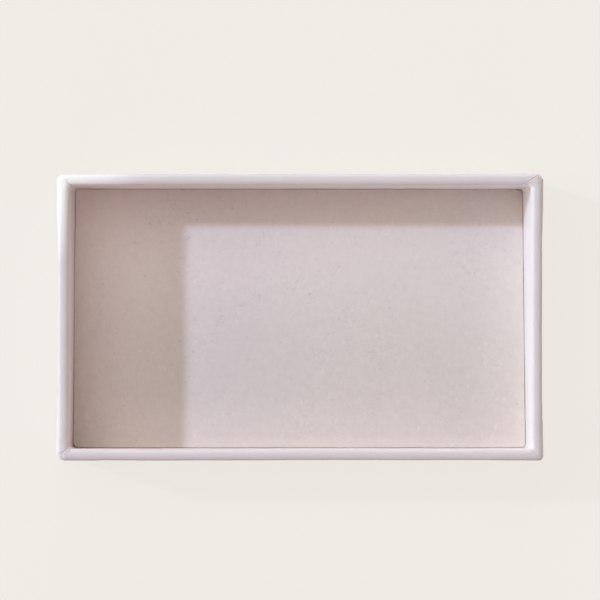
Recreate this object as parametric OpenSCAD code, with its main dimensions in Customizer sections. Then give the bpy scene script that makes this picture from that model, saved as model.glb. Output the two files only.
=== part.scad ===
// Shallow rectangular tray of greyboard, wrapped in white paper, with a loose card in its floor.
// The long side lies along X, the short side along Y, and the origin is at the centre of the underside.

/* [Tray] */
// Outside length at the rim, over the wrapped end walls
tray_l = 100; // [70:1:160]
// Outside width at the rim, over the wrapped long walls
tray_w = 59; // [45:1:120]
// Outside height from the underside to the top of the rim
tray_h = 20; // [14:1:45]

/* [Board] */
// Thickness of the greyboard
board_t = 2; // [1.5:0.25:3]
// Rounding of the rim, where the wrap has crushed the board's cut edges
rim_r = 0.65; // [0.3:0.05:0.7]
// Rounding of the folds between the base and the walls
fold_r = 0.7; // [0.4:0.05:0.9]
// Rounding of the upright corners, outside
corner_r = 1.15; // [0.95:0.05:1.6]
// Depth of the score that opens as each wall is folded up
score_depth = 1; // [0.5:0.1:1.2]
// Width of the score at the board's surface
score_w = 0.6; // [0.3:0.1:0.9]
// Gap where an end wall butts against a long wall
butt_gap = 0.1; // [0.05:0.05:0.3]

/* [Corner stays] */
// Thickness of the gummed paper tape
stay_t = 0.12; // [0.08:0.02:0.2]
// Length of tape on each side of a corner
stay_leg = 8; // [5:0.5:12]
// Bare board left below and above a stay
stay_inset = 1.75; // [1.5:0.25:4]

/* [Wrap] */
// Thickness of the wrapping paper
paper_t = 0.15; // [0.1:0.01:0.25]
// Glue line between two layers
glue_t = 0.02; // [0.01:0.01:0.05]
// Radius that the paper keeps in the upright corners, inside
inside_r = 0.9; // [0.6:0.1:1.4]
// Width of the foot that the wrap turns onto the floor
foot_w = 4; // [2:0.5:8]
// Length of the glue ear that turns a corner under each end panel
ear_l = 12; // [9:0.5:16]
// Distance from a corner to the cut edge of an end panel
panel_setback = 0.9; // [0.5:0.1:1.5]
// Bare height below and above an ear, at the corner
ear_inset = 1.2; // [1:0.1:2]
// Taper of an ear's upper and lower edges, in degrees
ear_taper = 12; // [0:1:20]
// Width of the slit where two turn-ins meet
mitre_w = 0.12; // [0.06:0.02:0.3]

/* [Floor card] */
// Thickness of the card laid in the floor
card_t = 0.8; // [0.4:0.1:1.5]
// Gap between the card's edge and the walls
card_gap = 0.2; // [0.1:0.05:0.5]

/* [Hidden] */
$fn = 64;

// The board's own faces. Each layer grows outward from them.
skin_out = glue_t + paper_t;
board_x = tray_l / 2 - skin_out;
board_y = tray_w / 2 - skin_out;
board_z0 = skin_out;
board_z1 = tray_h - skin_out;
board_mid = (board_z0 + board_z1) / 2;
cavity_x = board_x - board_t;
cavity_y = board_y - board_t;
floor_z = board_z0 + board_t;
// Centres of the upright corners, outside
corner_x = board_x - corner_r;
corner_y = board_y - corner_r;
// Radius of the inside corners, measured at the board's faces, and their centres
bridge_r = inside_r + skin_out;
inside_x = cavity_x - bridge_r;
inside_y = cavity_y - bridge_r;
stay_z0 = board_z0 + stay_inset;
stay_z1 = board_z1 - stay_inset;
// How far the wrap stands off the board over a stay: its hidden face, then its shown face
over_stay_in = 2 * glue_t + stay_t;
over_stay_out = over_stay_in + paper_t;
// Overrun of a cut past the face that it opens
over = 1;

white_paper = [0.93, 0.91, 0.92];
grey_board = [0.62, 0.59, 0.55];
kraft_tape = [0.72, 0.58, 0.42];
ivory_card = [0.87, 0.83, 0.81];

// A quarter of a disc, in the first quadrant.
module quarter_disc(r) {
    intersection() {
        circle(r);
        square(2 * r);
    }
}

// Upright section of an outer edge from mid-height up, grown by g.
// X runs outward from the corner's centre.
module half_edge(height, r, g) {
    square([corner_r - r, height + g]);
    translate([corner_r - r, 0]) square([r + g, height - r]);
    translate([corner_r - r, height - r]) quarter_disc(r + g);
}

// Upright section of an outer edge, with the rim's rounding above and the fold's below.
module edge_section(g) {
    translate([0, board_mid]) {
        half_edge(board_z1 - board_mid, rim_r, g);
        mirror([0, 1]) half_edge(board_mid - board_z0, fold_r, g);
    }
}

// Upright section right across the tray, where half is the distance to the board's outer face.
module body_section(half, g) {
    middle = half - corner_r;
    for (side = [0, 1]) mirror([side, 0]) translate([middle, 0]) edge_section(g);
    translate([-middle, board_z0 - g]) square([2 * middle, board_z1 - board_z0 + 2 * g]);
}

// Places its children in all four corners, mirrored, at x and y from the centre.
module at_corners(x, y) {
    for (flip_x = [0, 1], flip_y = [0, 1])
        mirror([flip_x, 0]) mirror([0, flip_y]) translate([x, y]) children();
}

// The tray's outside as a solid block, grown by g from the board. Its corners are whole turns.
module outer_block(g) {
    rotate([90, 0, 90]) linear_extrude(2 * corner_x, center = true) body_section(board_y, g);
    rotate([90, 0, 0]) linear_extrude(2 * corner_y, center = true) body_section(board_x, g);
    at_corners(corner_x, corner_y) rotate_extrude() edge_section(g);
}

// Upright section of one side of the cavity, flared by the rim's rounding.
// X runs outward from the corner's centre.
module cavity_edge(r, g) {
    flare_z = board_z1 - rim_r;
    translate([0, floor_z + g]) square([r - g, flare_z - floor_z - g]);
    difference() {
        translate([0, flare_z]) square([r + rim_r, rim_r + over]);
        translate([r + rim_r, flare_z]) circle(rim_r + g);
    }
}

// Upright section right across the cavity, where half is the distance to the board's inner face.
module cavity_section(half, r, g) {
    middle = half - r;
    for (side = [0, 1]) mirror([side, 0]) translate([middle, 0]) cavity_edge(r, g);
    translate([-middle, floor_z + g]) square([2 * middle, board_z1 + over - floor_z - g]);
}

// The cavity with rounded corners that the wrap leaves.
module wrapped_cavity(g) {
    rotate([90, 0, 90]) linear_extrude(2 * inside_x, center = true) cavity_section(cavity_y, bridge_r, g);
    rotate([90, 0, 0]) linear_extrude(2 * inside_y, center = true) cavity_section(cavity_x, bridge_r, g);
    at_corners(inside_x, inside_y) rotate_extrude() cavity_edge(bridge_r, g);
}

// The cavity with square corners that the folded board leaves.
module board_cavity() {
    intersection() {
        rotate([90, 0, 90]) linear_extrude(2 * board_x, center = true) cavity_section(cavity_y, bridge_r, 0);
        rotate([90, 0, 0]) linear_extrude(2 * board_y, center = true) cavity_section(cavity_x, bridge_r, 0);
    }
}

// Rectangle with rounded corners, given by its half sizes.
module rounded_plan(half_x, half_y, r) {
    square([2 * (half_x - r), 2 * half_y], center = true);
    square([2 * half_x, 2 * (half_y - r)], center = true);
    at_corners(half_x - r, half_y - r) quarter_disc(r);
}

// Plan of a strip folded round one upright corner, from g_in to g_out off the board.
// The corner's centre is at 0, 0.
module corner_strip_plan(leg, g_in, g_out) {
    straight = leg - corner_r;
    difference() {
        quarter_disc(corner_r + g_out);
        circle(corner_r + g_in);
    }
    translate([corner_r + g_in, -straight]) square([g_out - g_in, straight]);
    translate([-straight, corner_r + g_in]) square([straight, g_out - g_in]);
}

// A strip round one corner, from z0 to z1, for placing at the corner's centre.
module corner_strip(leg, g_in, g_out, z0, z1) {
    translate([0, 0, z0]) linear_extrude(z1 - z0) corner_strip_plan(leg, g_in, g_out);
}

// The paper standing proud over the four stays.
module stay_relief() {
    at_corners(corner_x, corner_y)
        corner_strip(stay_leg + skin_out, glue_t, over_stay_out, stay_z0 - skin_out, stay_z1 + skin_out);
}

// The room under the paper that the four stays take up.
module stay_pockets() {
    at_corners(corner_x, corner_y)
        corner_strip(stay_leg + glue_t, 0, over_stay_in, stay_z0 - glue_t, stay_z1 + glue_t);
}

// Outline of an ear under an end panel, seen from the end. X runs from the corner along the wall, Y runs up.
module ear_plan(from, to) {
    taper = ear_l * tan(ear_taper);
    low = board_z0 + ear_inset;
    high = board_z1 - ear_inset;
    intersection() {
        polygon([[0, low], [ear_l, low + taper], [ear_l, high - taper], [0, high]]);
        translate([from, 0]) square([to - from, tray_h]);
    }
}

// Places its children on the end walls at each corner.
// X runs from the corner along the wall, Y up and Z outward.
module on_end_walls() {
    for (flip_x = [0, 1], flip_y = [0, 1]) mirror([flip_x, 0]) mirror([0, flip_y])
        translate([board_x, board_y, 0]) rotate([90, 0, 90]) mirror([1, 0]) children();
}

// The end panels standing proud over the four ears, thicker where an ear also lies on a stay.
module ear_relief() {
    layer = paper_t + glue_t;
    on_end_walls() {
        linear_extrude(skin_out + layer) ear_plan(panel_setback, ear_l);
        linear_extrude(over_stay_out + layer) ear_plan(panel_setback, stay_leg + skin_out);
    }
}

// The slits on the diagonals, where neighbouring turn-ins meet on the rim, in the corner and on the floor.
module mitre_slits() {
    to_rim_middle = (bridge_r + board_t / 2) * sqrt(2);
    to_outside = (bridge_r + board_t + over) * sqrt(2);
    on_floor = foot_w * sqrt(2);
    at_corners(inside_x, inside_y) rotate([0, 0, 45]) {
        translate([-on_floor, -mitre_w / 2, floor_z])
            cube([on_floor + to_rim_middle, mitre_w, tray_h - floor_z + over]);
        translate([to_rim_middle - over, -mitre_w / 2, board_z1 - rim_r])
            cube([to_outside - to_rim_middle + over, mitre_w, rim_r + skin_out + over]);
    }
}

// The opening in the middle of the turned-in feet.
module floor_window() {
    size = [2 * (cavity_x - skin_out - foot_w), 2 * (cavity_y - skin_out - foot_w), 2 * skin_out];
    translate([-size.x / 2, -size.y / 2, floor_z]) cube(size);
}

module wrap() {
    color(white_paper) difference() {
        union() {
            outer_block(skin_out);
            stay_relief();
            ear_relief();
        }
        difference() {
            outer_block(glue_t);
            wrapped_cavity(glue_t);
        }
        wrapped_cavity(skin_out);
        stay_pockets();
        mitre_slits();
        floor_window();
    }
}

// Section of a score that the fold has opened, with its point inside the board.
// X runs outward from the fold's centre.
module score_section() {
    half_mouth = score_w / 2 * (score_depth + over) / score_depth;
    polygon([[fold_r - score_depth, 0], [fold_r + over, half_mouth], [fold_r + over, -half_mouth]]);
}

// The scores along the two folds of one pair of walls, where half is the distance to their outer faces.
module scores(half, length) {
    for (side = [0, 1]) mirror([side, 0, 0]) translate([half - fold_r, 0, board_z0 + fold_r])
        rotate([90, 45, 0]) linear_extrude(length, center = true) score_section();
}

// The gaps where the end walls butt against the long walls.
module butt_gaps() {
    for (flip_x = [0, 1], flip_y = [0, 1]) mirror([flip_x, 0]) mirror([0, flip_y])
        translate([cavity_x - over, cavity_y - butt_gap, floor_z])
            cube([board_t + 2 * over, butt_gap, tray_h]);
}

module board() {
    color(grey_board) difference() {
        outer_block(0);
        board_cavity();
        scores(board_x, 2 * board_y);
        rotate([0, 0, 90]) scores(board_y, 2 * board_x);
        butt_gaps();
    }
}

// The tape round one corner. The sides are -1 or 1: left or right, then front or back.
module corner_stay(side_x, side_y) {
    color(kraft_tape) mirror([side_x < 0 ? 1 : 0, 0]) mirror([0, side_y < 0 ? 1 : 0])
        translate([corner_x, corner_y]) corner_strip(stay_leg, glue_t, glue_t + stay_t, stay_z0, stay_z1);
}

module floor_card() {
    clear = skin_out + card_gap;
    color(ivory_card) translate([0, 0, floor_z + skin_out])
        linear_extrude(card_t) rounded_plan(cavity_x - clear, cavity_y - clear, inside_r - card_gap);
}

wrap();
board();
corner_stay(-1, -1);  // corner_stay_front_left
corner_stay(1, -1);  // corner_stay_front_right
corner_stay(-1, 1);  // corner_stay_back_left
corner_stay(1, 1);  // corner_stay_back_right
floor_card();
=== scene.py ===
"""Dresses a shallow wrapped tray: white paper folded over greyboard, and a mottled card on its floor."""
import math

import bpy
import numpy as np
from mathutils import Matrix, Vector, noise


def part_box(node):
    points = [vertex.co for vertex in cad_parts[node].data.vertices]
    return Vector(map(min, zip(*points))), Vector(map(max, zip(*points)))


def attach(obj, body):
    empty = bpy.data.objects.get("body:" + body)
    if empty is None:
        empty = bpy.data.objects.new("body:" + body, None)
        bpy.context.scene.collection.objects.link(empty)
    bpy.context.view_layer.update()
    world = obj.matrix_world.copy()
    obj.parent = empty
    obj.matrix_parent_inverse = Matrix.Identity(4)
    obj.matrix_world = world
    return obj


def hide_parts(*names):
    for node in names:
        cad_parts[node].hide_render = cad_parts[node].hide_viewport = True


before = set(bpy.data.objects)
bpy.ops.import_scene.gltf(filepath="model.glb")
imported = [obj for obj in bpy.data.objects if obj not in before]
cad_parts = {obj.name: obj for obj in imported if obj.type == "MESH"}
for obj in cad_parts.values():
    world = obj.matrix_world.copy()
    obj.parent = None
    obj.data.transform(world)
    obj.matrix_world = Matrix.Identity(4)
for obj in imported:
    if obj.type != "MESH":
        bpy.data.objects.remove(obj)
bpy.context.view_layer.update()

# Sizes are in millimetres and are turned into metres where a mesh is made
MM = 0.001


def node_box(name):
    """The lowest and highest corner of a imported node, in millimetres."""
    low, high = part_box(name)
    return np.array(low) / MM, np.array(high) / MM


board_low, board_high = node_box("board")
card_low, card_high = node_box("floor_card")
stay_low, stay_high = node_box("corner_stay_back_right")
tray_top = node_box("wrap")[1][2]

# Sheet sizes
PAPER = 0.15
CARD_GAP = 0.2
skin = board_low[2]
half = board_high[:2] + skin
foot_z = card_low[2]
wall = half[0] - card_high[0] - CARD_GAP

# Form of the paper round the board
FOLD_R = 0.87
RIM_CROWN = 1.12
RIM_FULLNESS = 2.5
INSIDE_R = 0.9
FOOT_W = 4.0
FOOT_FILLET = 0.25

# Samples along the paper's section, from the underside over the rim to the foot
UNDER_INSETS = (3.0, 1.8)
FOLD_STEPS = 8
FINE_STEP = 0.2
WALL_STEP = 1.0
FINE_END = 2.2
RIM_STEPS = 34
INNER_STEPS = 18
FILLET_STEPS = 5
FOOT_SHARES = (0.4, 1.0)
# The paper's hidden face takes every fourth of these rows
HIDDEN_ROWS = 4

# The corners, in the order back right, back left, front left, front right
OUTSIDE_R = (1.2, 1.35, 1.5, 0.65)
# Where each seam lies on the long side of the diagonal, and its turn for each millimetre across the rim
SEAM_SHIFT = (0.72, 0.2, -0.2, 0.1)
SEAM_TURN = (0.45, 0.05, 0.1, -0.15)
# Height of the upper flap's end, above 0 where the long side's is on top, and the crease beside it
LAP_STEP = (-0.04, -0.06, 0.01, 0.02)
CREASE = (0.2, 0.24, 0.1, 0.05)
# Where across the rim each crease starts
CREASE_START = (0.5, 1.6, 0.5, 0.8)
# Side of the small square at the outer corner that neither flap covers, and how far it lies below them
OPEN_CORNER = (0.75, 0.0, 1.4, 0.0)
OPEN_DEPTH = 0.2
# Softness of a flap's edge, width of a crease, and how far a flap stays raised behind its edge
SEAM_EDGE = 0.08
CREASE_W = 0.11
FLAP_RUN = 3.0
# How much of a seam still shows below the rim, down the inner corner
INSIDE_SEAM = 0.4

# Where the paper stands off the walls inside: how far under the rim this starts, and over what height it grows
LEAN_START = 2
LEAN_RUN = 12
# How far it stands in on each end wall halfway along, and how much more at the back
LEFT_LEAN = (0.2, 0.22)
RIGHT_LEAN = (0.26, 0.3)
LONG_WALL_SPREAD = 0.12

# Waves in the paper and the card, each with its height, length, seed and octaves
SEAM_WAVER = (0.04, 1.1, 3, 1)
COCKLE = (0.035, 11, 1, 2)
FINE_COCKLE = (0.012, 2.8, 2, 2)
RIM_WAVE = (0.045, 5.5, 4, 2)
CORNER_WAVE = (0.05, 1.3, 5, 2)
WALL_SWAY = (0.14, 42, 7, 2)
RIM_LEVEL = (0.06, 24, 8, 2)
CARD_BOW = (0.05, 30, 12, 2)
TRIM_WAVER = (1.0, 7, 11, 2)
# How far the waves near a corner reach, and how much the rim is raised as a whole
CORNER_RUN = 3.0
RIM_RISE = 0.02

# The card's corners in the same order, and the small nick in its back edge
CARD_CORNER_R = (1.35, 0.6, 1.15, 0.85)
CARD_NICK_X = 46.0
CARD_NICK_W = 0.3
CARD_NICK_DEPTH = 0.22
# The card lies a little towards the back and the left
CARD_SHIFT = (-0.016, 0.015)
# Room round the card, the share of its size that its edge is trimmed by, its worn upper edge and its edge's curl
CARD_ROOM = 0.035
CARD_TRIM = 0.0004
CARD_WORN = 0.1
CARD_CURL = 0.04
CARD_EDGE_BAND = 6

# Ears and stays under the paper
PANEL_SETBACK = 0.9
EAR_L = 12.0
EAR_INSET = 1.3
EAR_STEP = 0.12
STAY_STEP = 0.1
BOARD_CORNER_R = 1.15
BOARD_RIM_R = 0.65
# The least room between the board or a stay and the paper, and the most that the paper is moved to keep it
BARE_GAP = 0.03
MOST_PUSH = 0.6
# How far past a stay's edges the paper is still raised, along the wall and up it, and over what lengths it falls
STAY_PAST = (0.7, 0.6)
STAY_FALL = (0.6, 0.5)
# How far the paper springs up along an end panel's cut edge, and the depth and width of the groove beside it
PANEL_SPRING = 0.03
PANEL_GROOVE = 0.07

# The sun's colour, strength, travel, and width in degrees
SUN_COLOUR = (0.59, 0.74, 1.0)
SUN_STRENGTH = 2.0
SUN_TRAVEL = (1.445, -0.478, -1.0)
SUN_WIDTH = 3.0
# The room's lamps: colour, strength, compass angle, height and width in degrees
LAMPS = {
    "low_window": ((0.95, 1.0, 0.74), 1.52, 180, 12, 30),
    "back_window": ((1.0, 0.93, 0.8), 1.48, 90, 12, 30),
    "sky": ((0.99, 1.0, 0.98), 1.04, 124, 60, 50),
    "room_front": ((1.0, 0.84, 0.75), 0.86, 270, 30, 50),
    "room_right": ((1.0, 0.85, 0.69), 0.84, 0, 30, 50),
}

# Half the floor's width and its place under the tray, in metres, and how much of its own colour the camera sees
FLOOR_REACH = 1.5
FLOOR_DROP = 0.00002
FLOOR_GLOW = 0.9

# The photograph's frame, in its own pixels
PHOTO = 600
RIM_SCALE = 4.855
CENTRE_X = 300.0
CENTRE_Y = 317.0
EYE_HEIGHT = 750.0
EYE_X = -5.0
EYE_Y = -12.6
SENSOR_W = 36.0


def ease(x):
    """A smooth step from 0 to 1."""
    x = np.clip(x, 0, 1)
    return x * x * (3 - 2 * x)


def bell(x, width):
    """A soft peak of height 1."""
    return np.exp(-(x / width) ** 2)


def ripple(points, wavelength, seed, octaves):
    """Smooth noise from about -1 to 1 over an array of points."""
    shift = Vector((17.3, 9.1, 5.7)) * seed
    flat = points.reshape(-1, 3) / wavelength
    values = [noise.fractal(Vector(p) + shift, 1.0, 2.0, octaves) for p in flat]
    return np.array(values).reshape(points.shape[:-1])


def waves(points, kind):
    """Smooth noise with the height, length, seed and octaves of one kind of wave."""
    height, length, seed, octaves = kind
    return height * ripple(points, length, seed, octaves)


def spaced(*stretches):
    """Joins stretches of (end, step) into one run of distances from 0."""
    run, start = [np.zeros(1)], 0.0
    for end, step in stretches:
        count = max(1, round((end - start) / step))
        run.append(np.linspace(start, end, count + 1)[1:])
        start = end
    return np.concatenate(run)


class Loop:
    """Samples once round the tray, counter-clockwise from the right end wall."""

    CORNER_STEPS = 36
    MEAN_R = 1.1
    # Stretches from a corner along a wall, each with its end and its step, finer at the edges under the paper
    STRETCHES = ((0.8, 0.16), (2, 0.3), (7.3, 0.8), (8.9, 0.2), (11.2, 0.6), (12.9, 0.2))
    LONG_STEP = 1.2
    SHORT_STEP = 1.0

    def __init__(self):
        along, facing, reach, corner, radius = [], [], [], [], []
        for side in range(4):
            is_long = side % 2 == 1
            length = (half[0] if is_long else half[1]) - self.MEAN_R
            step = self.LONG_STEP if is_long else self.SHORT_STEP
            run = spaced(*self.STRETCHES, (length, step))
            place = np.concatenate([run - length, (length - run[::-1])[1:]]) / length
            turn = math.radians(90 * side)
            outward = np.array([math.cos(turn), math.sin(turn)])
            onward = np.array([-outward[1], outward[0]])
            for f in place[:-1]:
                along.append(outward + f * onward)
                facing.append(outward)
                near = side if f > 0 else (side - 1) % 4
                sign = 1 if is_long else -1
                reach.append(sign * (math.pi / 4 * self.MEAN_R + (1 - abs(f)) * length))
                corner.append(near)
                before, after = OUTSIDE_R[(side - 1) % 4], OUTSIDE_R[side]
                radius.append(before + (after - before) * (f + 1) / 2)
            for k in range(self.CORNER_STEPS):
                swing = math.pi / 2 * k / self.CORNER_STEPS
                along.append(outward + onward)
                facing.append(math.cos(swing) * outward + math.sin(swing) * onward)
                sign = -1 if is_long else 1
                reach.append(sign * (swing - math.pi / 4) * self.MEAN_R)
                corner.append(side)
                radius.append(OUTSIDE_R[side])
        self.along = np.array(along)
        self.facing = np.array(facing)
        self.reach = np.array(reach)
        self.corner = np.array(corner)
        self.radius = np.array(radius)

    def at_corner(self, values):
        """One value for each sample, from a value for each corner."""
        return np.array(values)[self.corner]

    def points(self, inset, z):
        """The loop at each inset from the outer faces and height, as an array of rows."""
        inset, z = np.asarray(inset)[:, None], np.asarray(z)[:, None]
        r = self.radius + (INSIDE_R - self.radius) * np.clip(inset / wall, 0, 1)
        xy = [self.along[:, k] * (half[k] - inset - r) + self.facing[:, k] * r for k in (0, 1)]
        return np.stack([xy[0], xy[1], np.broadcast_to(z, xy[0].shape)], axis=-1)


def wrap_section():
    """The paper's outer face, from the underside over the rim to the foot: the inset and height of each row."""
    rows = [(inset, 0.0) for inset in UNDER_INSETS]
    fold = np.linspace(0, math.pi / 2, FOLD_STEPS)
    rows += [(FOLD_R * (1 - math.sin(a)), FOLD_R * (1 - math.cos(a))) for a in fold]
    shoulder = tray_top - RIM_CROWN
    straight = shoulder - FOLD_R
    rises = spaced((1.0, FINE_STEP), (straight - FINE_END, WALL_STEP), (straight, FINE_STEP))
    rows += [(0.0, FOLD_R + rise) for rise in rises[1:-1]]
    for a in np.linspace(math.pi, 0, RIM_STEPS):
        across = math.copysign(abs(math.cos(a)) ** (2 / RIM_FULLNESS), math.cos(a))
        up = abs(math.sin(a)) ** (2 / RIM_FULLNESS)
        rows.append((wall / 2 * (1 + across), shoulder + RIM_CROWN * up))
    low = foot_z + FOOT_FILLET
    rows += [(wall, z) for z in np.linspace(shoulder, low, INNER_STEPS)[1:]]
    rows += [
        (wall + FOOT_FILLET * (1 - math.cos(a)), low - FOOT_FILLET * math.sin(a))
        for a in np.linspace(0, math.pi / 2, FILLET_STEPS)[1:]
    ]
    rows += [(wall + FOOT_W * share, foot_z) for share in FOOT_SHARES]
    return np.array(rows)


def section_normals(rows):
    """Outward normals of the section, as (outward, up)."""
    run = np.gradient(rows, axis=0)
    normals = np.stack([run[:, 1], run[:, 0]], axis=1)
    return normals / np.linalg.norm(normals, axis=1, keepdims=True)


def build_mesh(name, points, faces):
    """A smooth-shaded object from points in millimetres."""
    mesh = bpy.data.meshes.new(name)
    mesh.from_pydata((points * MM).tolist(), [], faces)
    mesh.validate()
    mesh.update()
    mesh.polygons.foreach_set("use_smooth", [True] * len(mesh.polygons))
    piece = bpy.data.objects.new(name, mesh)
    bpy.context.scene.collection.objects.link(piece)
    return piece


def band(first, second, count):
    """Quads between two closed rows of vertices that start at these indices."""
    return [
        (first + i, first + (i + 1) % count, second + (i + 1) % count, second + i)
        for i in range(count)
    ]


def stay_cover(loop, z):
    """1 over the corner stays, falling to 0 a little way past their edges."""
    stay_t = stay_high[0] - board_high[0]
    leg = stay_high[0] - stay_t - stay_low[0] - loop.MEAN_R * (1 - math.pi / 4)
    along = ease((leg + STAY_PAST[0] - np.abs(loop.reach)) / STAY_FALL[0])
    from_below = ease((z - stay_low[2] + STAY_PAST[1]) / STAY_FALL[1])
    return along * from_below * ease((stay_high[2] + STAY_PAST[1] - z) / STAY_FALL[1])


def wrap_relief(loop, rows, places):
    """How far the paper stands out at each place: seams, open corners, ears, stays and cockle."""
    inset, z = rows[:, 0, None], rows[:, 1, None]
    shoulder = tray_top - RIM_CROWN
    on_rim = ease((z - shoulder + 0.6) / 0.8)
    outside = ease((wall / 4 - inset) / 0.3) * ease((z - 0.3) / 0.6)
    inside = ease((inset - wall * 0.8) / 0.2) * ease((z - foot_z) / 0.5)
    mitred = on_rim * ease((inset - loop.at_corner(CREASE_START)) / 0.4 + 1)
    mitred = np.clip(mitred + INSIDE_SEAM * inside * (1 - on_rim), 0, 1)

    reach = loop.reach[None, :]
    seam = loop.at_corner(SEAM_SHIFT) + loop.at_corner(SEAM_TURN) * (inset - wall / 2)
    past = reach - seam * on_rim + waves(places, SEAM_WAVER)
    step = loop.at_corner(LAP_STEP)
    above_seam = past * np.sign(step)
    flap = np.abs(step) * ease(above_seam / SEAM_EDGE + 0.5) * bell(np.maximum(above_seam, 0), FLAP_RUN)
    crease = -loop.at_corner(CREASE) * bell(above_seam + SEAM_EDGE, CREASE_W)
    relief = mitred * (flap + crease)
    from_faces = half - np.abs(places[..., :2])
    bare = ease((loop.at_corner(OPEN_CORNER) - from_faces.max(axis=-1)) / 0.15)
    relief -= OPEN_DEPTH * bare * on_rim

    from_diagonal = -reach
    edge = loop.MEAN_R * (math.pi / 4 - math.asin(1 - PANEL_SETBACK / (BOARD_CORNER_R + skin)))
    upright = ease((z - EAR_INSET) / 0.5) * ease((tray_top - EAR_INSET - z) / 0.5)
    ear = ease((EAR_L - from_diagonal) / 0.6) * upright
    panel = ease((from_diagonal - edge) / 0.09 + 0.5)
    relief += outside * panel * (EAR_STEP * ear + PANEL_SPRING * bell(from_diagonal - edge, FLAP_RUN))
    relief -= outside * PANEL_GROOVE * bell(from_diagonal - edge + PANEL_GROOVE, PANEL_GROOVE)
    relief += outside * STAY_STEP * stay_cover(loop, z)

    above = ease(z / 1.5)
    relief += above * (waves(places, COCKLE) + waves(places, FINE_COCKLE))
    relief += on_rim * (waves(places, RIM_WAVE) + bell(reach, CORNER_RUN) * waves(places, CORNER_WAVE))
    return relief


def outside_board(points):
    """How far points lie outside the greyboard's upright walls, whose top edges are rounded."""
    board_t = wall - 2 * skin
    plan = np.abs(points[..., :2]) - (board_high[:2] - BOARD_CORNER_R)
    flat = np.linalg.norm(np.maximum(plan, 0), axis=-1) + np.minimum(plan.max(axis=-1), 0) - BOARD_CORNER_R
    across = np.abs(flat + board_t / 2) - board_t / 2
    side = np.stack([across, points[..., 2] - board_high[2]], axis=-1) + BOARD_RIM_R
    return np.linalg.norm(np.maximum(side, 0), axis=-1) + np.minimum(side.max(axis=-1), 0) - BOARD_RIM_R


def lowness(points):
    """0 near the rim, rising to 1 down the inner walls."""
    return ease((tray_top - LEAN_START - points[..., 2]) / LEAN_RUN)


def lean(points):
    """The inner faces of the end walls stand in a little, and more towards the back."""
    share = np.clip(points[..., 1] / half[1], -1, 1)
    along = points[..., 0] / half[0] * 4
    on_left = ease(-along - 2) * (LEFT_LEAN[0] + LEFT_LEAN[1] * share)
    on_right = ease(along - 2) * (RIGHT_LEAN[0] + RIGHT_LEAN[1] * share)
    return lowness(points) * (on_left - on_right)


def spread(points):
    """The inner faces of the long walls stand back a little lower down."""
    side = points[..., 1] / half[1]
    return LONG_WALL_SPREAD * lowness(points) * np.sign(side) * ease(np.abs(side) * 8 - 6)


def make_wrap():
    """The one sheet of paper, with its own thickness."""
    loop = Loop()
    rows = wrap_section()
    normals = section_normals(rows)
    places = loop.points(rows[:, 0], rows[:, 1])
    relief = wrap_relief(loop, rows, places)
    outward = np.concatenate([
        normals[:, 0, None, None] * loop.facing[None, :, :],
        np.broadcast_to(normals[:, 1, None, None], (len(rows), len(loop.reach), 1)),
    ], axis=-1)
    face = places + outward * relief[..., None]

    lift = ease((rows[:, 1, None] - 0.5) / 18)
    sway = waves(places * [1, 1, 0.2], WALL_SWAY) * lift
    face[..., :2] += loop.facing[None, :, :] * sway[..., None]
    on_rim = ease((rows[:, 1, None] - tray_top + 2.5) / 2)
    face[..., 2] += on_rim * (waves(places, RIM_LEVEL) + RIM_RISE)
    inner = ease((rows[:, 0, None] - wall * 0.7) / (wall * 0.3))
    face[..., 0] += inner * lean(places)
    face[..., 1] += inner * spread(places)

    upright = (rows[:, 1] > FOLD_R) & (rows[:, 1] > foot_z + FOOT_FILLET - 0.01) | (rows[:, 0] < 0.01)
    stay_t = stay_high[0] - board_high[0]
    need = BARE_GAP + stay_t * stay_cover(loop, rows[:, 1, None]) * (rows[:, 0, None] < wall / 2)
    short = np.clip(need - outside_board(face), 0, MOST_PUSH) * upright[:, None]
    face += outward * short[..., None]

    back_rows = sorted(set(range(0, len(rows), HIDDEN_ROWS)) | {len(rows) - 1})
    back = (face - PAPER * outward)[back_rows]

    count = len(loop.reach)
    points = np.concatenate([face.reshape(-1, 3), back.reshape(-1, 3)])
    faces = []
    for k in range(len(rows) - 1):
        faces += band(k * count, (k + 1) * count, count)
    base = len(rows) * count
    for k in range(len(back_rows) - 1):
        faces += [quad[::-1] for quad in band(base + k * count, base + (k + 1) * count, count)]
    faces += band((len(rows) - 1) * count, base + (len(back_rows) - 1) * count, count)
    faces.append(tuple(reversed(range(count))))
    faces.append(tuple(range(base, base + count)))
    return build_mesh("wrap_sheet", points, faces)


def rounded(u, v, size, r):
    """Moves points of a grid from -1 to 1 onto a rectangle with rounded corners."""
    x, y = u * size[0], v * size[1]
    over_x, over_y = np.abs(x) - (size[0] - r), np.abs(y) - (size[1] - r)
    in_corner = (over_x > 0) & (over_y > 0)
    p, q = np.clip(over_x / r, 0, 1), np.clip(over_y / r, 0, 1)
    round_x = size[0] - r + r * p * np.sqrt(1 - q * q / 2)
    round_y = size[1] - r + r * q * np.sqrt(1 - p * p / 2)
    x = np.where(in_corner, np.copysign(round_x, x), x)
    y = np.where(in_corner, np.copysign(round_y, y), y)
    return x, y


def card_corners(u, v):
    """The radius that each quarter of the card is cut to."""
    back = np.where(u > 0, CARD_CORNER_R[0], CARD_CORNER_R[1])
    front = np.where(u > 0, CARD_CORNER_R[3], CARD_CORNER_R[2])
    return np.where(v > 0, back, front)


def card_grid(length):
    """Places from -1 to 1 along one side of the card, close together at its ends."""
    run = spaced((1.5, 0.12), (3, 0.3), (length, 0.9))
    return np.concatenate([run - length, (length - run[::-1])[1:]]) / length


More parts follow.
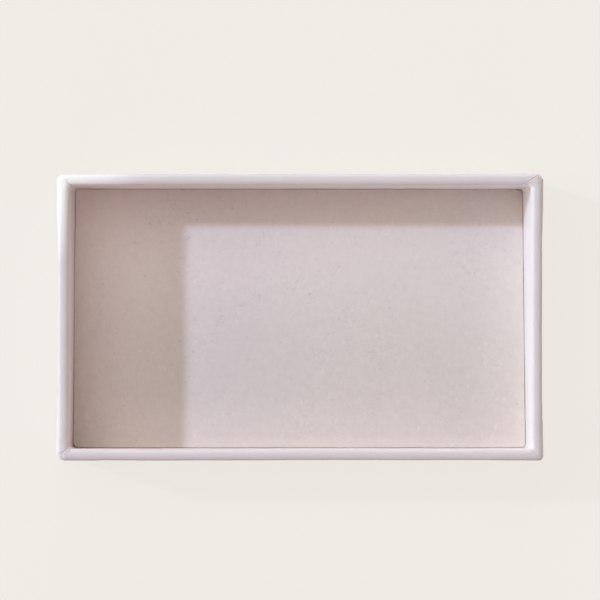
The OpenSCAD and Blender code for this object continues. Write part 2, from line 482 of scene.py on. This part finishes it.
def make_card():
    """The loose card on the floor, a little warped and worn round its edges."""
    size = card_high[:2] + CARD_GAP - CARD_ROOM
    u, v = np.meshgrid(card_grid(size[0]), card_grid(size[1]), indexing="ij")
    columns, lines = u.shape
    rim = [(i, 0) for i in range(columns)] + [(columns - 1, j) for j in range(1, lines)]
    rim += [(i, lines - 1) for i in range(columns - 2, -1, -1)] + [(0, j) for j in range(lines - 2, 0, -1)]
    rim = np.array(rim)
    low, high = card_low[2], card_high[2]

    def layer(inset, z, only_rim=False):
        a, b = (u[rim[:, 0], rim[:, 1]], v[rim[:, 0], rim[:, 1]]) if only_rim else (u, v)
        x, y = rounded(a, b, size - inset, card_corners(a, b) - inset)
        points = np.stack([x, y, np.full_like(x, z)], axis=-1).reshape(-1, 3)
        from_edge = np.maximum(np.abs(points[:, 0]) - size[0], np.abs(points[:, 1]) - size[1])
        edge = ease((from_edge + CARD_EDGE_BAND) / CARD_EDGE_BAND)
        points[:, :2] *= (1 - CARD_TRIM * edge * (1 + waves(points, TRIM_WAVER)))[:, None]
        bow = waves(points * [1, 1, 0], CARD_BOW) + CARD_CURL * edge
        points[:, 2] += np.clip(bow, 0, None)
        points[:, 0] += ease(np.abs(points[:, 0]) / size[0] * 5 - 4) * lean(points)
        points[:, 1] += spread(points)
        nick = bell(points[:, 0] - CARD_NICK_X, CARD_NICK_W) * ease((points[:, 1] - size[1]) / 0.6 + 1)
        points[:, 1] -= CARD_NICK_DEPTH * nick
        points[:, :2] += CARD_SHIFT
        return points

    top = layer(CARD_WORN, high)
    shoulder = layer(CARD_WORN * 0.3, high - CARD_WORN * 0.3, True)
    side = layer(0, high - CARD_WORN, True)
    foot = layer(0, low + CARD_WORN / 2, True)
    under = layer(CARD_WORN / 2, low)
    points = np.concatenate([top, shoulder, side, foot, under])

    grid = columns * lines
    ring = len(rim)
    top_rim = [int(i * lines + j) for i, j in rim]
    faces = []
    for i in range(columns - 1):
        for j in range(lines - 1):
            a = i * lines + j
            faces.append((a, a + lines, a + lines + 1, a + 1))
            b = grid + 3 * ring + a
            faces.append((b, b + 1, b + lines + 1, b + lines))
    rings = [top_rim] + [list(range(grid + k * ring, grid + (k + 1) * ring)) for k in range(3)]
    rings.append([grid + 3 * ring + index for index in top_rim])
    for upper, lower in zip(rings, rings[1:]):
        for k in range(ring):
            n = (k + 1) % ring
            faces.append((upper[n], upper[k], lower[k], lower[n]))
    return build_mesh("floor_card_sheet", points, faces)


class Value:
    """A number or colour that flows through a material, with Python's operators as Math nodes."""

    def __init__(self, finish, socket):
        self.finish = finish
        self.socket = socket

    def math(self, operation, *values):
        inputs = dict(enumerate(values))
        return self.finish.node("ShaderNodeMath", {"operation": operation}, inputs)

    def __add__(self, other):
        return self.math("ADD", self, other)

    def __radd__(self, other):
        return self.math("ADD", other, self)

    def __sub__(self, other):
        return self.math("SUBTRACT", self, other)

    def __rsub__(self, other):
        return self.math("SUBTRACT", other, self)

    def __mul__(self, other):
        return self.math("MULTIPLY", self, other)

    def __rmul__(self, other):
        return self.math("MULTIPLY", other, self)

    def above(self, level):
        return self.math("MAXIMUM", self, level)


class Finish:
    """A material made of nodes, in millimetres on the object, or the nodes of the room round it."""

    def __init__(self, name, room=None):
        self.material = room or bpy.data.materials.new(name)
        self.material.use_nodes = True
        self.tree = self.material.node_tree
        self.tree.nodes.clear()
        self.output = self.tree.nodes.new("ShaderNodeOutputWorld" if room else "ShaderNodeOutputMaterial")
        place = self.node("ShaderNodeTexCoord", output="Object")
        self.place = self.node("ShaderNodeVectorMath", {"operation": "SCALE"}, {0: place, "Scale": 1 / MM})

    def along(self, axis):
        """The place along X, Y or Z, in millimetres."""
        return self.node("ShaderNodeSeparateXYZ", None, {0: self.place}, axis)

    def seen(self):
        """1 where the camera or a reflection looks, and 0 where a surface gathers light."""
        path = self.node("ShaderNodeLightPath", None, None, "Is Camera Ray")
        for other in ("Is Glossy Ray", "Is Transmission Ray"):
            path = path.above(self.node("ShaderNodeLightPath", None, None, other))
        return path

    def node(self, kind, settings=None, inputs=None, output=0):
        """Adds any node: its settings first, then its sockets' values or links."""
        node = self.tree.nodes.new(kind)
        for name, value in (settings or {}).items():
            setattr(node, name, value)
        for key, value in (inputs or {}).items():
            if isinstance(value, Value):
                self.tree.links.new(value.socket, node.inputs[key])
            else:
                node.inputs[key].default_value = value
        return Value(self, node.outputs[output])

    def noise(self, size, detail=3.0, rough=0.5, stretch=(1, 1, 1), warp=0.0):
        """Cloudy noise from 0 to 1 whose features are about size millimetres across."""
        place = self.place
        if stretch != (1, 1, 1):
            place = self.node("ShaderNodeVectorMath", {"operation": "MULTIPLY"}, {0: place, 1: stretch})
        return self.node("ShaderNodeTexNoise", None, {
            "Vector": place, "Scale": 1 / size, "Detail": detail, "Roughness": rough, "Distortion": warp,
        })

    def mix(self, share, first, second):
        """A blend of two colours."""
        return self.node("ShaderNodeMix", {"data_type": "RGBA"}, {0: share, 6: first, 7: second}, 2)

    def range(self, value, low, high, to_low=0.0, to_high=1.0):
        """Stretches a value, and holds it between the new limits."""
        return self.node("ShaderNodeMapRange", {"clamp": True}, {
            0: value, 1: low, 2: high, 3: to_low, 4: to_high,
        })

    def bump(self, height, depth, strength=1.0, normal=None):
        """Surface detail of a depth in millimetres."""
        inputs = {"Height": height, "Distance": depth * MM, "Strength": strength}
        if normal:
            inputs["Normal"] = normal
        return self.node("ShaderNodeBump", None, inputs)

    def surface(self, **inputs):
        """Ends the material in a Principled shader with these sockets."""
        named = {name.replace("_", " "): value for name, value in inputs.items()}
        shader = self.node("ShaderNodeBsdfPrincipled", None, named)
        self.tree.links.new(shader.socket, self.output.inputs["Surface"])
        return self.material


def srgb(red, green, blue):
    """A colour for a socket, from the screen's 0 to 255."""
    def linear(c):
        c /= 255
        return c / 12.92 if c <= 0.04045 else ((c + 0.055) / 1.055) ** 2.4
    return (linear(red), linear(green), linear(blue), 1.0)


# The backdrop's colour
CREAM = srgb(240, 236, 230)
# What the floor throws back at the object, which is less than the camera sees
FLOOR_BOUNCE = srgb(178, 174, 168)


def wrapping_paper():
    """Smooth white paper, with painted shade low down inside, painted shade along the rim top and a painted
    highlight on the rim at the back left corner.
    """
    white, off_white = srgb(236, 228, 234), srgb(233, 225, 230)
    painted_foot_shade, grained = srgb(200, 186, 188), srgb(201, 192, 196)
    rim_top_shade, rim_highlight = srgb(209, 200, 204), srgb(248, 246, 246)
    foot_shade_from, foot_shade_to = card_high[2] + 12, card_high[2] + 1
    rim_from, rim_to = tray_top - 0.85, tray_top - 0.2
    left_shade_from, left_shade_to = -34, -45
    outer_from, outer_to = -49.4, -48.9
    rim_shade_near, rim_shade_far = 6, 20
    highlight_near, highlight_far = 4, 18
    finish = Finish("wrapping_paper")
    cloud = finish.noise(14, 2)
    grain = finish.noise(0.35, 4, 0.6)
    cockle = finish.noise(2.6, 3, 0.5)
    tint = finish.mix(finish.range(cloud, 0.35, 0.65), white, off_white)
    # Painted shade: the inner walls are painted darker towards the card, most on the left end wall's inner face
    low = finish.range(finish.along(2), foot_shade_from, foot_shade_to)
    left_wall_shade = finish.range(finish.along(0), left_shade_from, left_shade_to)
    left_wall_shade = left_wall_shade * finish.range(finish.along(0), outer_from, outer_to)
    foot_shade_share = low * (0.25 + 0.75 * left_wall_shade)
    tint = finish.mix(foot_shade_share, tint, painted_foot_shade)
    on_rim = finish.range(finish.along(2), rim_from, rim_to)
    from_corner = finish.along(0) - finish.along(1) + (half[0] + half[1])
    # Painted shade: the rim top is painted greyer, less so near the back left corner
    tint = finish.mix(on_rim * finish.range(from_corner, rim_shade_near, rim_shade_far, 0.08, 1.0), tint, rim_top_shade)
    # Painted highlight: the rim is painted whiter towards the back left corner
    tint = finish.mix(on_rim * finish.range(from_corner, highlight_far, highlight_near, 0.0, 0.65), tint, rim_highlight)
    colour = finish.mix(finish.range(grain, 0.3, 0.7) * 0.12, tint, grained)
    normal = finish.bump(grain, 0.012, 0.6)
    normal = finish.bump(cockle, 0.05, 0.5, normal)
    return finish.surface(Base_Color=colour, Roughness=0.38 + 0.08 * grain, Normal=normal, IOR=1.45)


def floor_card_stock():
    """Ivory card with a fine mottle and short fibres, with a painted light falloff that is darker and warmer
    towards the front right, and painted bounce light along the right and front edges.
    """
    dark_back, dark_front = srgb(227, 215, 215), srgb(207, 193, 183)
    pale_back, pale_front = srgb(231, 219, 219), srgb(211, 197, 187)
    clouded, painted_bounce, cut_side = srgb(228, 213, 208), srgb(238, 225, 206), srgb(202, 184, 166)
    dark_hair, pale_hair = srgb(192, 179, 177), srgb(240, 230, 229)
    cut_from, cut_to = card_high[2] - 0.06, card_high[2] - 0.2
    right_band, front_band = 2.6, 2.4
    falloff_from, falloff_to = -30, 45
    finish = Finish("floor_card_stock")
    mottle = finish.noise(1.3, 3, 0.55)
    cloud = finish.noise(9, 3, 0.6)
    patches = finish.range(finish.noise(6, 3), 0.4, 0.6, 0.25, 1)
    pale_fibre = finish.range(finish.noise(0.75, 2, 0.5, (1, 0.5, 1), 0.8), 0.6, 0.74) * patches
    dark_fibre = finish.range(finish.noise(0.6, 2, 0.5, (0.7, 1, 1), 0.8), 0.59, 0.73) * patches
    # Painted light falloff: the card's colours are lighter at the back left and darker and warmer towards the
    # front right
    light_falloff = finish.range(finish.along(0) * 0.5 - finish.along(1), falloff_from, falloff_to)
    darker = finish.mix(light_falloff, dark_back, dark_front)
    lighter = finish.mix(light_falloff, pale_back, pale_front)
    colour = finish.mix(finish.range(mottle, 0.34, 0.66), darker, lighter)
    colour = finish.mix(finish.range(cloud, 0.3, 0.7) * 0.15, colour, clouded)
    # Painted bounce light: a lighter, warmer band along the right and front edges, beside the lit walls
    bounce_band = finish.range(finish.along(0), card_high[0] - right_band, card_high[0])
    bounce_band = bounce_band.above(finish.range(finish.along(1), card_low[1] + front_band, card_low[1]))
    colour = finish.mix(bounce_band * 0.3, colour, painted_bounce)
    colour = finish.mix(dark_fibre * 0.4, colour, dark_hair)
    colour = finish.mix(pale_fibre * 0.35, colour, pale_hair)
    colour = finish.mix(finish.range(finish.along(2), cut_from, cut_to), colour, cut_side)
    normal = finish.bump(pale_fibre - dark_fibre, 0.012, 1.0)
    normal = finish.bump(mottle, 0.14, 1.0, normal)
    return finish.surface(Base_Color=colour, Roughness=0.72 + 0.1 * mottle, Normal=normal, IOR=1.4)


def greyboard_stock():
    """Rough grey board of mixed waste paper, with dark flecks."""
    grey, pale_grey, fleck = srgb(134, 128, 120), srgb(158, 151, 142), srgb(96, 92, 88)
    finish = Finish("greyboard_stock")
    mottle = finish.noise(1.2, 5, 0.65)
    flecks = finish.range(finish.noise(0.5, 2), 0.62, 0.68)
    colour = finish.mix(finish.range(mottle, 0.35, 0.65), grey, pale_grey)
    colour = finish.mix(flecks * 0.5, colour, fleck)
    normal = finish.bump(mottle, 0.06, 0.6)
    return finish.surface(Base_Color=colour, Roughness=0.85 + 0.06 * mottle, Normal=normal)


def gummed_tape():
    """Brown paper tape with fibres along it."""
    brown, pale_brown = srgb(176, 142, 104), srgb(196, 164, 124)
    finish = Finish("gummed_tape")
    fibre = finish.noise(0.8, 4, 0.6, stretch=(1, 1, 3))
    colour = finish.mix(finish.range(fibre, 0.35, 0.65), brown, pale_brown)
    normal = finish.bump(fibre, 0.02, 0.5)
    return finish.surface(Base_Color=colour, Roughness=0.7 + 0.1 * fibre, Normal=normal)


def table_top():
    """The pale floor: what the camera sees is mostly its own colour, with some of the light and shade on it."""
    finish = Finish("table_top")
    paper_colour = finish.mix(finish.seen(), FLOOR_BOUNCE, CREAM)
    paper = finish.node("ShaderNodeBsdfDiffuse", None, {"Color": paper_colour})
    glow = finish.node("ShaderNodeEmission", None, {"Color": CREAM, "Strength": 1.0})
    mixed = finish.node("ShaderNodeMixShader", None, {0: finish.seen() * FLOOR_GLOW, 1: paper, 2: glow})
    finish.tree.links.new(mixed.socket, finish.output.inputs["Surface"])
    return finish.material


def make_room():
    """Past the floor the camera and reflections see the same pale cream, which lights nothing."""
    room = bpy.data.worlds.new("room")
    finish = Finish("room", room)
    dark = finish.node("ShaderNodeBackground", None, {"Color": CREAM, "Strength": 0.0})
    pale = finish.node("ShaderNodeBackground", None, {"Color": CREAM, "Strength": 1.0})
    mixed = finish.node("ShaderNodeMixShader", None, {0: finish.seen(), 1: dark, 2: pale})
    finish.tree.links.new(mixed.socket, finish.output.inputs["Surface"])
    bpy.context.scene.world = room


def make_floor():
    """The surface that the tray stands on."""
    mesh = bpy.data.meshes.new("floor")
    turns = [(-1, -1), (1, -1), (1, 1), (-1, 1)]
    mesh.from_pydata([(x * FLOOR_REACH, y * FLOOR_REACH, 0) for x, y in turns], [], [(0, 1, 2, 3)])
    floor = bpy.data.objects.new("floor", mesh)
    floor.location.z = -FLOOR_DROP
    bpy.context.scene.collection.objects.link(floor)
    mesh.materials.append(table_top())


def aim(thing, place, target, up=(0, 0, 1)):
    """Puts a lamp or camera at a place so that it looks at the target."""
    place, target = Vector(place), Vector(target)
    back = (place - target).normalized()
    right = Vector(up).cross(back).normalized()
    turn = Matrix((right, back.cross(right), back)).transposed()
    thing.matrix_world = Matrix.Translation(place) @ turn.to_4x4()


def heading(azimuth, elevation):
    """The way to a lamp, from its compass angle and height in degrees."""
    a, e = math.radians(azimuth), math.radians(elevation)
    return math.cos(a) * math.cos(e), math.sin(a) * math.cos(e), math.sin(e)


def add_lamp(name, colour, strength, place, width):
    """A distant lamp whose light comes from this way, over a width in degrees."""
    lamp = bpy.data.lights.new(name, "SUN")
    lamp.color = colour
    lamp.energy = strength
    lamp.angle = math.radians(width)
    holder = bpy.data.objects.new(name, lamp)
    bpy.context.scene.collection.objects.link(holder)
    aim(holder, place, (0, 0, 0))


def make_light():
    """A cool sun from the back left, low windows on the left and behind, and a soft room round them."""
    add_lamp("sun", SUN_COLOUR, SUN_STRENGTH, -Vector(SUN_TRAVEL), SUN_WIDTH)
    for name, (colour, strength, azimuth, elevation, width) in LAMPS.items():
        add_lamp(name, colour, strength, heading(azimuth, elevation), width)


def make_camera():
    """Straight above the tray, as far away as the view of its inner walls says."""
    camera = bpy.data.cameras.new("camera")
    camera.sensor_width = SENSOR_W
    to_rim = EYE_HEIGHT - tray_top
    camera.lens = camera.sensor_width * RIM_SCALE * to_rim / PHOTO
    middle_x = (PHOTO / 2 - CENTRE_X) / RIM_SCALE
    middle_y = (CENTRE_Y - PHOTO / 2) / RIM_SCALE
    holder = bpy.data.objects.new("camera", camera)
    bpy.context.scene.collection.objects.link(holder)
    eye, target = Vector((EYE_X, EYE_Y, EYE_HEIGHT)), Vector((middle_x, middle_y, tray_top))
    aim(holder, eye * MM, target * MM, (0, 1, 0))
    bpy.context.scene.camera = holder


def dress(piece, node, material):
    """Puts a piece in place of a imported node."""
    piece.data.materials.append(material)
    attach(piece, "root")
    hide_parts(node)


def finish_node(name, material):
    """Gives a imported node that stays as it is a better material."""
    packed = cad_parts[name]
    packed.data.materials.clear()
    packed.data.materials.append(material)


make_camera()
make_light()
make_room()
make_floor()
bpy.context.scene.view_settings.view_transform = "Standard"

dress(make_wrap(), "wrap", wrapping_paper())
dress(make_card(), "floor_card", floor_card_stock())
finish_node("board", greyboard_stock())
tape = gummed_tape()
for y_side in ("front", "back"):
    for x_side in ("left", "right"):
        finish_node(f"corner_stay_{y_side}_{x_side}", tape)
